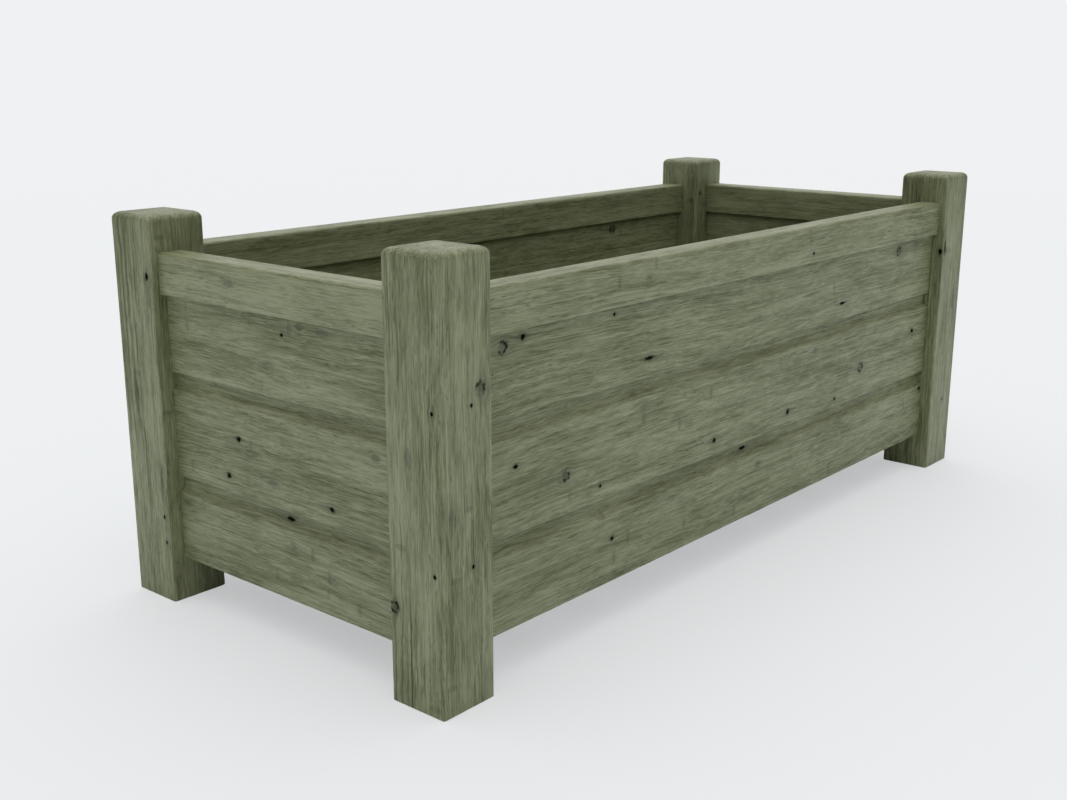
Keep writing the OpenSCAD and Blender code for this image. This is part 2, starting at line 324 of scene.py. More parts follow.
class Web:
    """A node tree being wired, with short ways to add its nodes."""

    def __init__(self, tree: bpy.types.NodeTree) -> None:
        """Keeps the tree.

        Args:
            tree: A material's tree or a group.
        """
        self.tree = tree

    def add(self, kind: str, settings: dict | None = None, **inputs: object) -> bpy.types.Node:
        """Adds a node.

        Args:
            kind: The node's type, without its ShaderNode prefix.
            settings: Properties to set on it.
            **inputs: Values or sockets for its inputs, by name with _ for a space, or by i and a
                number. A socket is linked, and a value is set.

        Returns:
            The node.
        """
        node = self.tree.nodes.new("ShaderNode" + kind)
        for key, value in (settings or {}).items():
            setattr(node, key, value)
        for key, value in inputs.items():
            numbered = key[0] == "i" and key[1:].isdigit()
            self.feed(node.inputs[int(key[1:]) if numbered else key.replace("_", " ")], value)
        return node

    def feed(self, socket: bpy.types.NodeSocket, value: object) -> None:
        """Links a socket to another, or sets its value."""
        if isinstance(value, bpy.types.NodeSocket):
            self.tree.links.new(value, socket)
        else:
            socket.default_value = value

    def math(self, operation: str, *values: object) -> bpy.types.NodeSocket:
        """A Math node's result."""
        node = self.add("Math", {"operation": operation})
        for socket, value in zip(node.inputs, values):
            self.feed(socket, value)
        return node.outputs[0]

    def times(self, first: object, *others: object) -> object:
        """The product of the values."""
        for other in others:
            first = self.math("MULTIPLY", first, other)
        return first

    def most(self, first: object, *others: object) -> object:
        """The largest of the values."""
        for other in others:
            first = self.math("MAXIMUM", first, other)
        return first

    def bell(self, distance: object, rate: float) -> bpy.types.NodeSocket:
        """The exponential of the rate times the square of the distance."""
        return self.math("EXPONENT", self.times(distance, distance, rate))

    def vector(self, operation: str, *values: object) -> bpy.types.NodeSocket:
        """A Vector Math node's result, which is a value for a length or a dot product."""
        node = self.add("VectorMath", {"operation": operation})
        if operation == "SCALE":
            self.feed(node.inputs[0], values[0])
            self.feed(node.inputs["Scale"], values[1])
        else:
            for socket, value in zip(node.inputs, values):
                self.feed(socket, value)
        return node.outputs["Value" if operation in ("LENGTH", "DOT_PRODUCT") else "Vector"]

    def noise(self, vector: object, scale: float = 1.0, detail: float = 2.0,
              roughness: float = 0.5) -> bpy.types.NodeSocket:
        """A Noise Texture's value, whose mean is a half."""
        node = self.add("TexNoise", None, Vector=vector, Scale=scale, Detail=detail, Roughness=roughness)
        return node.outputs[0]

    def drawn(self, vector: object, along: float, across: float) -> bpy.types.NodeSocket:
        """The vector multiplied by one number along the grain and by another across it and in depth."""
        return self.vector("MULTIPLY", vector, (along, across, across))

    def ramp(self, value: object, low: float, high: float, out_low: float = 0.0, out_high: float = 1.0,
             smooth: bool = True) -> bpy.types.NodeSocket:
        """Carries a value from one range to another, held at its ends."""
        curve = "SMOOTHSTEP" if smooth else "LINEAR"
        node = self.add("MapRange", {"interpolation_type": curve, "clamp": True})
        for socket, given in zip(node.inputs, (value, low, high, out_low, out_high)):
            self.feed(socket, given)
        return node.outputs[0]

    def mix(self, amount: object, first: object, second: object, blend: str = "MIX") -> bpy.types.NodeSocket:
        """Mixes two colours."""
        node = self.add("Mix", {"data_type": "RGBA", "blend_type": blend, "clamp_factor": True})
        for socket, value in ((node.inputs[0], amount), (node.inputs[6], first), (node.inputs[7], second)):
            self.feed(socket, (*value, 1.0) if isinstance(value, tuple) and len(value) == 3 else value)
        return node.outputs[2]

    def group(self, tree: bpy.types.NodeTree, **inputs: object) -> bpy.types.Node:
        """Adds a group node."""
        node = self.tree.nodes.new("ShaderNodeGroup")
        node.node_tree = tree
        for key, value in inputs.items():
            self.feed(node.inputs[key.replace("_", " ")], value)
        return node


def blank_material(name: str) -> tuple[bpy.types.Material, Web]:
    """A new material with nothing in it, and the web to wire it."""
    material = bpy.data.materials.new(name)
    material.use_nodes = True
    material.node_tree.nodes.clear()
    return material, Web(material.node_tree)


def new_group(name: str, inputs: dict[str, str],
              outputs: dict[str, str]) -> tuple[Web, bpy.types.Node, bpy.types.Node]:
    """Starts a shader node group with named sockets.

    Args:
        name: The group's name.
        inputs: Socket names and their kinds, Float, Vector or Color.
        outputs: The same for the outputs.

    Returns:
        The web to wire, and the group's input and output nodes.
    """
    tree = bpy.data.node_groups.new(name, "ShaderNodeTree")
    for direction, sockets in (("INPUT", inputs), ("OUTPUT", outputs)):
        for socket, kind in sockets.items():
            tree.interface.new_socket(name=socket, in_out=direction, socket_type="NodeSocket" + kind)
    return Web(tree), tree.nodes.new("NodeGroupInput"), tree.nodes.new("NodeGroupOutput")


# How often each of the grain's noises turns in a metre along the grain and across it.
WANDER, SHIVER = (2.5, 8.0), (26.0, 80.0)
BAND_UNEVEN, BAND_SHOWN = (1.2, 45.0), (3.0, 30.0)
PATCH, BLOTCH, STREAK, FIBRE = (7.0, 36.0), (20.0, 135.0), (5.0, 420.0), (45.0, 1150.0)
DASH, DASH_SHOWN = (85.0, 900.0), (9.0, 40.0)
CRACK, BAR_CELL = (3.2, 460.0), (46.0, 19.0)

# How far the two slow noises push the grain sideways, how much of the way along the grain counts
# towards the distance from the pith, how many bands the unevenness shifts them by, how strongly
# patches, blotches, streaks and fibres show, and the share of cells without a bar.
WANDER_REACH, SHIVER_REACH = 22 * MM, 4 * MM
PITH_TAPER = 0.02
BAND_SHIFT = 2.6
GRAIN_WEIGHTS = (0.90, 1.05, 1.6, 2.0)
BARLESS = 0.70


def grain_group() -> bpy.types.NodeTree:
    """Softwood grain on a vector given along, across and in depth.

    Growth bands are uneven steps of the distance from a pith behind the face, bent by slow noise.
    Patches, blotches, streaks and fibres are noises drawn out along the grain, each finer than
    the last. Dashes and cracks are the peaks of such noises, and bars are small spots, each
    drawn out across the grain, about the points of a cell pattern.

    Returns:
        A group that puts out Tone, from light to dark about a half, Marks and Height.
    """
    web, given, made = new_group(
        "Softwood grain",
        {"Vector": "Vector", "Pith": "Vector", "Band width": "Float", "Band strength": "Float",
         "Crack strength": "Float"},
        {"Tone": "Float", "Marks": "Float", "Height": "Float"})
    spot = given.outputs["Vector"]
    bent = spot
    for scales, reach in ((WANDER, WANDER_REACH), (SHIVER, SHIVER_REACH)):
        push = web.add("TexNoise", None, Vector=web.drawn(spot, *scales), Scale=1.0, Detail=2.0)
        push = web.vector("SUBTRACT", push.outputs["Color"], (0.5, 0.5, 0.5))
        bent = web.vector("ADD", bent, web.drawn(push, 0.0, reach))
    from_pith = web.vector("SUBTRACT", bent, given.outputs["Pith"])
    ring = web.vector("LENGTH", web.drawn(from_pith, PITH_TAPER, 1.0))
    uneven = web.noise(web.drawn(bent, *BAND_UNEVEN), detail=1.0)
    turns = web.math("DIVIDE", ring, given.outputs["Band width"])
    turns = web.math("MULTIPLY_ADD", uneven, BAND_SHIFT, turns)
    saw = web.math("FRACT", turns)
    latewood = web.times(web.ramp(saw, 0.25, 0.90), web.ramp(saw, 1.0, 0.90))
    strength = web.ramp(web.noise(web.drawn(spot, *BAND_SHOWN)), 0.35, 0.68, 0.1, 1.0)
    bands = web.times(latewood, strength)
    patch = web.noise(web.drawn(bent, *PATCH))
    blotch = web.noise(web.drawn(bent, *BLOTCH), 1.0, 3.0, 0.6)
    streak = web.noise(web.drawn(bent, *STREAK), 1.0, 4.0, 0.6)
    fibre = web.noise(web.drawn(bent, *FIBRE), 1.0, 3.0, 0.6)
    tone = web.math("SUBTRACT", bands, 0.25)
    tone = web.math("MULTIPLY_ADD", tone, given.outputs["Band strength"], 0.5)
    for part, weight in zip((patch, blotch, streak, fibre), GRAIN_WEIGHTS):
        tone = web.math("MULTIPLY_ADD", web.math("SUBTRACT", part, 0.5), weight, tone)
    dashes = web.times(web.ramp(web.noise(web.drawn(bent, *DASH), detail=1.0), 0.62, 0.72),
                       web.ramp(web.noise(web.drawn(spot, *DASH_SHOWN), detail=1.0), 0.48, 0.60))
    split = web.ramp(web.noise(web.drawn(bent, *CRACK)), 0.64, 0.70)
    cracks = web.times(split, given.outputs["Crack strength"], web.ramp(patch, 0.42, 0.55))
    cells = web.add("TexVoronoi", {"feature": "F1"}, Vector=web.drawn(spot, *BAR_CELL), Scale=1.0)
    wobble = web.math("MULTIPLY_ADD", blotch, 0.10, cells.outputs["Distance"])
    lot = web.add("SeparateXYZ", None, Vector=cells.outputs["Color"]).outputs[0]
    chosen = web.math("GREATER_THAN", lot, BARLESS)
    bars = web.times(web.ramp(wobble, 0.24, 0.17), chosen, 0.45)
    gashes = web.most(dashes, cracks)
    marks = web.most(gashes, bars)
    height = web.math("MULTIPLY_ADD", fibre, -0.45, web.times(streak, -0.35))
    height = web.math("MULTIPLY_ADD", bands, 0.12, height)
    height = web.math("MULTIPLY_ADD", gashes, -0.8, height)
    web.feed(made.inputs["Tone"], tone)
    web.feed(made.inputs["Marks"], marks)
    web.feed(made.inputs["Height"], height)
    return web.tree


def knot_group() -> bpy.types.NodeTree:
    """One knot, added to the knots before it.

    The distance from the knot's axis, in radii, is drawn out along the grain and made ragged.
    The heart is what is nearer than one radius, the rim is a band about one radius, the halo
    fades beyond it, and a tail runs along the grain. The bend pulls the grain's places towards
    the knot, so that the grain parts round it.

    Returns:
        A group that takes and puts out Brown, Black and Bend.
    """
    web, given, made = new_group(
        "Knot",
        {"Vector": "Vector", "Centre": "Vector", "Axis": "Vector", "Radius": "Float", "Stretch": "Float",
         "Brown strength": "Float", "Black strength": "Float", "Rim strength": "Float", "Depth": "Float",
         "Ragged": "Float", "Gaps": "Float", "Brown": "Float", "Black": "Float", "Bend": "Vector"},
        {"Brown": "Float", "Black": "Float", "Bend": "Vector"})
    take = given.outputs
    away = web.vector("SUBTRACT", take["Vector"], take["Centre"])
    axial = web.vector("DOT_PRODUCT", away, take["Axis"])
    flat = web.vector("SUBTRACT", away, web.vector("SCALE", take["Axis"], axial))
    squeeze = web.add("CombineXYZ", None, X=web.math("DIVIDE", 1.0, take["Stretch"]), Y=1.0, Z=1.0)
    oval = web.vector("SCALE", web.vector("MULTIPLY", flat, squeeze.outputs[0]),
                      web.math("DIVIDE", 1.0, take["Radius"]))
    radii = web.vector("LENGTH", oval)
    within = web.math("LESS_THAN", web.math("ABSOLUTE", axial), take["Depth"])
    ragged = web.times(radii, web.math("MULTIPLY_ADD", take["Ragged"], 0.9, 0.55))
    heart = web.times(web.ramp(ragged, 1.10, 0.65), within)
    edge = web.math("ABSOLUTE", web.math("SUBTRACT", ragged, 0.95))
    rim = web.times(web.ramp(edge, 0.75, 0.05), within, take["Gaps"])
    halo = web.times(web.bell(radii, -0.22), within)
    thin = web.vector("LENGTH", web.drawn(oval, 0.24, 2.1))
    tail = web.times(web.bell(thin, -1.0), within)
    brown = web.times(web.most(heart, web.times(halo, 0.55)), take["Brown strength"])
    black = web.most(web.times(heart, take["Black strength"]), web.times(rim, take["Rim strength"]),
                     web.times(tail, 0.45, take["Rim strength"]))
    pull = web.vector("SCALE", web.drawn(flat, 0.0, 1.0), web.times(halo, -0.75))
    web.feed(made.inputs["Brown"], web.most(take["Brown"], brown))
    web.feed(made.inputs["Black"], web.most(take["Black"], black))
    web.feed(made.inputs["Bend"], web.vector("ADD", take["Bend"], pull))
    return web.tree


# ---- Finishes ----

MARKS_SHOWN = 0.55
PITH_ASIDE, PITH_BEHIND = (-30 * MM, 30 * MM), (35 * MM, 60 * MM)


class KnotKind(Enum):
    """Kinds of knot: radius, stretch along the grain, and strengths of the brown, the black and the rim."""

    LIVE = (5.2 * MM, 1.10, 0.85, 0.20, 0.85)
    FAINT = (3.4 * MM, 1.3, 0.50, 0.05, 0.30)
    BLACK = (2.7 * MM, 1.35, 0.8, 0.95, 0.75)
    PIN = (1.9 * MM, 1.2, 0.7, 1.0, 0.6)
    SPLIT = (2.1 * MM, 3.6, 0.8, 0.95, 0.8)
    SMUDGE = (2.8 * MM, 2.8, 0.55, 0.12, 0.35)


LIVE, FAINT, BLACK, PIN, SPLIT, SMUDGE = KnotKind
ACROSS = (0.0, 1.0, 0.0)


@dataclass(frozen=True)
class Knot:
    """A knot in a timber, at a place along and across it, on the face that its axis points out of."""

    along: float
    across: float
    kind: KnotKind
    depth: float = 0.0
    axis: Point = (0.0, 0.0, 1.0)
    through: float = 0.03


@dataclass(frozen=True)
class TimberFinish:
    """How softwood looks: the colours of its light, middle and dark grain and of its knots, and its sheen."""

    light: Colour
    middle: Colour
    dark: Colour
    knot_tint: Colour
    knot_black: Colour
    roughness: float
    relief: float

    def material(self, name: str, seed: int, knots: list[Knot], groups: "Groups", band: float = 9 * MM,
                 bands: float = 0.12, cracks: float = 0.3, shade: float = 0.0) -> bpy.types.Material:
        """Makes the material of one timber.

        Args:
            name: The material's name.
            seed: What picks the timber's own stretch of grain.
            knots: The knots in it.
            groups: The shared node groups.
            band: Width of its growth bands.
            bands: How strongly the bands show.
            cracks: How strongly fine drying cracks show.
            shade: How much darker than usual the timber's grain is.

        Returns:
            A material that reads the piece's own grain attribute.
        """
        rng = np.random.default_rng(seed)
        material, web = blank_material(name)
        own = web.add("Attribute", {"attribute_name": "grain", "attribute_type": "GEOMETRY"})
        spot = own.outputs["Vector"]
        ragged = web.noise(spot, 330.0, 2.0)
        gaps = web.ramp(web.noise(spot, 150.0, 1.0), 0.30, 0.62, 0.25, 1.0)
        brown: object = 0.0
        black: object = 0.0
        bend: object = (0.0, 0.0, 0.0)
        for knot in knots:
            radius, stretch, brown_strength, black_strength, rim_strength = knot.kind.value
            centre = (knot.along, knot.across, knot.depth)
            node = web.group(groups.knot, Vector=spot, Centre=centre, Axis=knot.axis, Radius=radius,
                             Stretch=stretch, Brown_strength=brown_strength, Black_strength=black_strength,
                             Rim_strength=rim_strength, Depth=knot.through, Ragged=ragged, Gaps=gaps,
                             Brown=brown, Black=black, Bend=bend)
            brown, black, bend = (node.outputs[part] for part in ("Brown", "Black", "Bend"))
        own_stretch = rng.uniform(-9, 9, 3)
        pith = own_stretch + np.array([0.0, rng.uniform(*PITH_ASIDE), rng.uniform(*PITH_BEHIND)])
        offset = web.add("Mapping", None, Vector=web.vector("ADD", spot, bend), Location=tuple(own_stretch))
        grain = web.group(groups.grain, Vector=offset.outputs[0], Pith=tuple(pith), Band_width=band,
                          Band_strength=bands, Crack_strength=cracks)
        tone = web.math("ADD", grain.outputs["Tone"], shade)
        wood = web.mix(web.ramp(tone, 0.0, 0.5, smooth=False), self.light, self.middle)
        wood = web.mix(web.ramp(tone, 0.5, 1.0, smooth=False), wood, self.dark)
        wood = web.mix(web.times(grain.outputs["Marks"], MARKS_SHOWN), wood, self.knot_black)
        wood = web.mix(brown, wood, self.knot_tint, "MULTIPLY")
        wood = web.mix(black, wood, self.knot_black)
        hollow = web.math("MULTIPLY_ADD", black, -1.2, grain.outputs["Height"])
        bump = web.add("Bump", None, Height=hollow, Strength=0.5, Distance=self.relief)
        rough = web.ramp(tone, 0.0, 1.0, self.roughness - 0.05, self.roughness + 0.08, smooth=False)
        shader = web.add("BsdfPrincipled", None, Base_Color=wood, Normal=bump.outputs[0],
                         Roughness=web.math("MAXIMUM", rough, black), Metallic=web.ramp(black, 0.3, 0.9))
        web.add("OutputMaterial", None, Surface=shader.outputs[0])
        return material


@dataclass(frozen=True)
class SteelFinish:
    """Dull passivated steel, blotched, with fine streaks of sheen."""

    colour: Colour
    roughness: float
    dulled: float = 0.62

    def material(self, name: str) -> bpy.types.Material:
        """Makes the material."""
        material, web = blank_material(name)
        spot = web.add("TexCoord").outputs["Object"]
        blotch = web.noise(spot, 420.0, 3.0)
        scratch = web.noise(web.vector("MULTIPLY", spot, (2600.0, 500.0, 900.0)))
        dull = tuple(self.dulled * c for c in self.colour)
        shader = web.add("BsdfPrincipled", None, Metallic=1.0,
                         Base_Color=web.mix(web.ramp(blotch, 0.35, 0.7), self.colour, dull),
                         Roughness=web.ramp(scratch, 0.3, 0.7, self.roughness - 0.08, self.roughness + 0.12))
        web.add("OutputMaterial", None, Surface=shader.outputs[0])
        return material


@dataclass(frozen=True)
class Groups:
    """The shader node groups that the finishes share."""

    grain: bpy.types.NodeTree
    knot: bpy.types.NodeTree


STAINED = TimberFinish(light=(0.347, 0.374, 0.222), middle=(0.229, 0.252, 0.134), dark=(0.110, 0.126, 0.044),
                       knot_tint=(0.42, 0.41, 0.36), knot_black=(0.006, 0.007, 0.003), roughness=0.44,
                       relief=0.5 * MM)
BARE = TimberFinish(light=(0.200, 0.200, 0.115), middle=(0.130, 0.130, 0.070), dark=(0.070, 0.070, 0.036),
                    knot_tint=(0.45, 0.38, 0.30), knot_black=(0.012, 0.010, 0.005), roughness=0.6,
                    relief=0.7 * MM)
STEEL = SteelFinish(colour=(0.62, 0.61, 0.57), roughness=0.36)


# ---- Timbers ----


@dataclass
class Piece:
    """A finished piece with what it stands for."""

    node: str
    slot: str
    lie: Lie
    obj: bpy.types.Object = field(init=False)

    def dress(self, material: bpy.types.Material) -> None:
        """Gives the piece its material, its grain attribute and its place in the frame.

        Args:
            material: What it is made of.
        """
        mesh = self.obj.data
        mesh.materials.clear()
        mesh.materials.append(material)
        spots = np.empty(len(mesh.vertices) * 3)
        mesh.vertices.foreach_get("co", spots)
        grain = self.lie.local(spots.reshape(-1, 3))
        mesh.attributes.new("grain", "FLOAT_VECTOR", "POINT").data.foreach_set("vector", grain.ravel())
        mesh.polygons.foreach_set("use_smooth", np.ones(len(mesh.polygons), bool))
        mesh.set_sharp_from_angle(angle=SHARP_ANGLE)
        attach(self.obj, BODY)
        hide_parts(self.node)
        LOG.info("%s: %d faces", self.obj.name, len(mesh.polygons))


@dataclass
class Stick(Piece):
    """A timber with one outline along its length, which may narrow to a tongue at both ends."""

    corners: list[Corner] = field(default_factory=list)
    ends: Pair = (0.0, 0.0)
    shoulders: Pair | None = None
    tongue_across: Pair = (0.0, 0.0)
    tongue_depth: Pair = (0.0, 0.0)
    seed: int = 0
    step_along: float = 7 * MM
    step_round: float = 3.5 * MM
    uneven: float = 0.22 * MM
    broad: Pair = (450 * MM, 60 * MM)
    fine: Pair = (100 * MM, 18 * MM)
    wear: float = 0.35 * MM
    wear_length: float = 70 * MM

    def build(self) -> None:
        """Carries the outline along the timber, worn and uneven, with its end tongues.

        Each point is its outline's point less a small depth along the outline's normal: half of
        one plus slow waves, and at the arrises the wear times waves along the edge. In a tongue
        the outline's points are held to the tongue's rectangle.
        """
        rng = np.random.default_rng(self.seed)
        outline, arris = rounded_outline(self.corners, self.step_round)
        inner = self.shoulders or self.ends
        a = spread(inner[0], inner[1], self.step_along)
        if self.shoulders:
            a = np.concatenate([[self.ends[0], inner[0]], a, [inner[1], self.ends[1]]])
        tangent = np.roll(outline, -1, axis=0) - np.roll(outline, 1, axis=0)
        tangent /= np.linalg.norm(tangent, axis=1, keepdims=True)
        normal = np.stack([tangent[:, 1], -tangent[:, 0]], axis=1) * math.copysign(1, double_area(outline))
        run = np.concatenate([[0], np.cumsum(np.linalg.norm(np.diff(outline, axis=0), axis=1))])
        loop = 2 * np.pi * run / (run[-1] + self.step_round)
        ring = run[-1] / (2 * np.pi)
        x, y = np.meshgrid(a, loop, indexing="ij")
        hollows = planed(rng, x, y, ring, self.broad, self.fine)
        nibble = 0.5 + 0.5 * waves(rng, x, y * 0, self.wear_length, 1.0)
        inset = self.uneven * hollows + self.wear * arris * np.clip(nibble, 0, 1)
        flat = outline[None, :, :] - inset[..., None] * normal[None, :, :]
        if self.shoulders:
            for row in (0, 1, -2, -1):
                flat[row, :, 0] = np.clip(outline[:, 0], *self.tongue_across)
                flat[row, :, 1] = np.clip(outline[:, 1], *self.tongue_depth)
        self.obj = closed_mesh(f"{self.node}_timber", self.lie.place_rings(a, flat))


@dataclass
class Post(Piece):
    """A corner post: an upright square timber whose top arrises are rounded over."""

    side: float
    height: float
    top_round: float = 7.5 * MM
    edge_round: float = 2.6 * MM
    top_edge_round: float = 3.2 * MM
    seed: int = 0
    step: float = 3.5 * MM
    uneven: float = 0.22 * MM
    broad: Pair = (350 * MM, 50 * MM)
    fine: Pair = (90 * MM, 14 * MM)
    foot_inset: float = 0.7 * MM
    foot_height: float = 0.8 * MM

    def build(self) -> None:
        """Stacks rounded squares up the post, over its top arris and in to the middle of its top.

        Each ring is the inner square's point times the half width less the corner's radius, plus
        the outward normal times that radius. Over the arris the half width falls by the round's
        radius less its cosine, and the height rises by its sine.
        """
        rng = np.random.default_rng(self.seed)
        half = self.side / 2
        steps = max(2, round(self.side / self.step))
        run = np.linspace(-1, 1, steps)
        turn = np.radians(np.linspace(0, 90, 6))[1:-1]
        square, normal = [], []
        for quarter in range(4):
            c, s = math.cos(quarter * math.pi / 2), math.sin(quarter * math.pi / 2)
            spin = np.array([[c, s], [-s, c]])
            side_points = np.stack([np.ones(steps), run], axis=1)
            corner_points = np.ones((len(turn), 2))
            side_normals = np.tile([1.0, 0.0], (steps, 1))
            corner_normals = np.stack([np.cos(turn), np.sin(turn)], axis=1)
            square.append(np.concatenate([side_points, corner_points]) @ spin)
            normal.append(np.concatenate([side_normals, corner_normals]) @ spin)
        square, normal = np.concatenate(square), np.concatenate(normal)
        over = np.radians(np.linspace(0, 90, 9))[1:]
        shoulder = self.height - self.top_round
        shank = spread(self.foot_height, shoulder, self.step * 1.6)
        inward = np.linspace(1, 0, 12)[1:-1]
        z = np.concatenate([[0.0], shank, shoulder + self.top_round * np.sin(over),
                            np.full(len(inward), self.height)])
        over_half = half - self.top_round * (1 - np.cos(over))
        halves = np.concatenate([[half - self.foot_inset], np.full(len(shank), half), over_half,
                                 over_half[-1] * inward])
        radii = np.concatenate([np.full(len(shank) + 1, self.edge_round),
                                self.edge_round + (self.top_edge_round - self.edge_round) * np.sin(over),
                                self.top_edge_round * inward])
        ring = square[None] * (halves - radii)[:, None, None] + normal[None] * radii[:, None, None]
        around = np.arctan2(square[:, 1], square[:, 0])
        x, y = np.meshgrid(z, around, indexing="ij")
        inset = self.uneven * planed(rng, x, y, half, self.broad, self.fine)
        inset[z >= self.height - 0.1 * MM] = 0
        ring = ring - inset[..., None] * normal[None]
        self.obj = closed_mesh(f"{self.node}_timber", self.lie.place_rings(z, ring))


# ---- Cutting joints ----


def box_cutter(lie: Lie, along: Pair, across: Pair,
               depth: Pair) -> np.ndarray:
    """Rings of a plain box, for cutting: two rings of four corners."""
    loop = np.array([[corner.across, corner.depth] for corner in rectangle(across, depth, 0.0)])
    return lie.place_rings(np.array(along), np.array([loop, loop]))


@dataclass(frozen=True)
class ScrewHole:
    """A clearance hole with the seat of a countersunk head, from a point on a face into the wood."""

    mouth: Point
    inward: Point
    length: float
    shank_r: float
    head_r: float
    head_drop: float

    def rings(self) -> np.ndarray:
        """Rings of the cutter, as radii at depths along the hole's axis."""
        axis = np.array(self.inward, float)
        side = np.cross(axis, [0.0, 0.0, 1.0] if abs(axis[2]) < 0.5 else [1.0, 0.0, 0.0])
        other = np.cross(axis, side)
        angle = np.linspace(0, 2 * np.pi, 24, endpoint=False)
        circle = np.cos(angle)[:, None] * side + np.sin(angle)[:, None] * other
        cone = self.head_r - self.shank_r
        depths = np.array([-1 * MM, self.head_drop, self.head_drop + cone, self.length])
        radii = np.array([self.head_r, self.head_r, self.shank_r, self.shank_r])
        return np.array(self.mouth) + depths[:, None, None] * axis + radii[:, None, None] * circle[None]


def carve(piece: Piece, cutters: list[np.ndarray]) -> None:
    """Cuts closed shapes out of a piece, and takes away the slivers that the cuts leave.

    Args:
        piece: The piece, already built.
        cutters: Each cutter's rings of points. They don't meet each other.
    """
    tools = [closed_mesh("cutter", rings) for rings in cutters]
    work = bmesh.new()
    for tool in tools:
        work.from_mesh(tool.data)
    joined = bpy.data.meshes.new("cutters")
    work.to_mesh(joined)
    work.free()
    tool = bpy.data.objects.new("cutters", joined)
    bpy.context.scene.collection.objects.link(tool)
    cut = piece.obj.modifiers.new("joints", "BOOLEAN")
    cut.operation = "DIFFERENCE"
    cut.solver = "EXACT"
    cut.object = tool
    graph = bpy.context.evaluated_depsgraph_get()
    mesh = bpy.data.meshes.new_from_object(piece.obj.evaluated_get(graph))
    piece.obj.modifiers.clear()
    clean = bmesh.new()
    clean.from_mesh(mesh)
    bmesh.ops.dissolve_degenerate(clean, dist=SLIVER, edges=clean.edges)
    clean.to_mesh(mesh)
    clean.free()
    before = piece.obj.data
    piece.obj.data = mesh
    bpy.data.meshes.remove(before)
    mesh.name = piece.obj.name
    for used in [*tools, tool]:
        data = used.data
        bpy.data.objects.remove(used)
        bpy.data.meshes.remove(data)


# ---- Sub-assemblies ----


@dataclass(frozen=True)
class Joinery:
    """Sizes that the timbers share where they meet, as depths from the posts' outer faces."""

    rail_setback: float = 9.5 * MM
    rail_t: float = 32 * MM
    tenon_t: float = 16 * MM
    tenon_top: float = 5 * MM
    groove_h: float = 11 * MM
    board_setback: float = 17 * MM
    board_t: float = 18 * MM
    lip_t: float = 7 * MM
    lap_gap: float = 0.5 * MM
    recess_h: float = 19 * MM
    cove_r: float = 12 * MM
    top_tongue_h: float = 10 * MM
    fit: float = 0.25 * MM
    end_gap: float = 1 * MM
    rail_screw_in: float = 10 * MM
    rail_screw_step: float = 12 * MM
    groove_stop: float = 0.4 * MM
    hole_stop: float = 0.1 * MM

    @property
    def board_inner(self) -> float:
        """Depth of the boards' inner faces."""
        return self.board_setback + self.board_t

    @property
    def tongue_outer(self) -> float:
        """Depth of the recess and of the tongues' outer faces."""
        return self.board_setback + self.lip_t + self.lap_gap

    @property
    def tenon(self) -> Pair:
        """Depths of the tenons' two faces."""
        middle = self.rail_setback + self.rail_t / 2
        return middle - self.tenon_t / 2, middle + self.tenon_t / 2


JOINERY = Joinery()
CORNERS = [(Side.FRONT, Side.LEFT), (Side.FRONT, Side.RIGHT), (Side.BACK, Side.LEFT), (Side.BACK, Side.RIGHT)]
LEVELS = ("bottom", "middle", "top")
POST_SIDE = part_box("post_front_left")[1][0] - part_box("post_front_left")[0][0]


def span(node: str, axis: int) -> Pair:
    """Lowest and highest place of a CAD node along an axis."""
    low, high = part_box(node)
    return low[axis], high[axis]


def scattered(rng: np.random.Generator, along: Pair, across: Pair,
              count: int, depth: float = 0.0) -> list[Knot]:
    """Knots at random places on a face, of random kinds."""
    kinds = (LIVE, FAINT, BLACK, PIN, PIN, SMUDGE)
    return [Knot(rng.uniform(*along), rng.uniform(*across), kinds[rng.integers(len(kinds))], depth)
            for _ in range(count)]


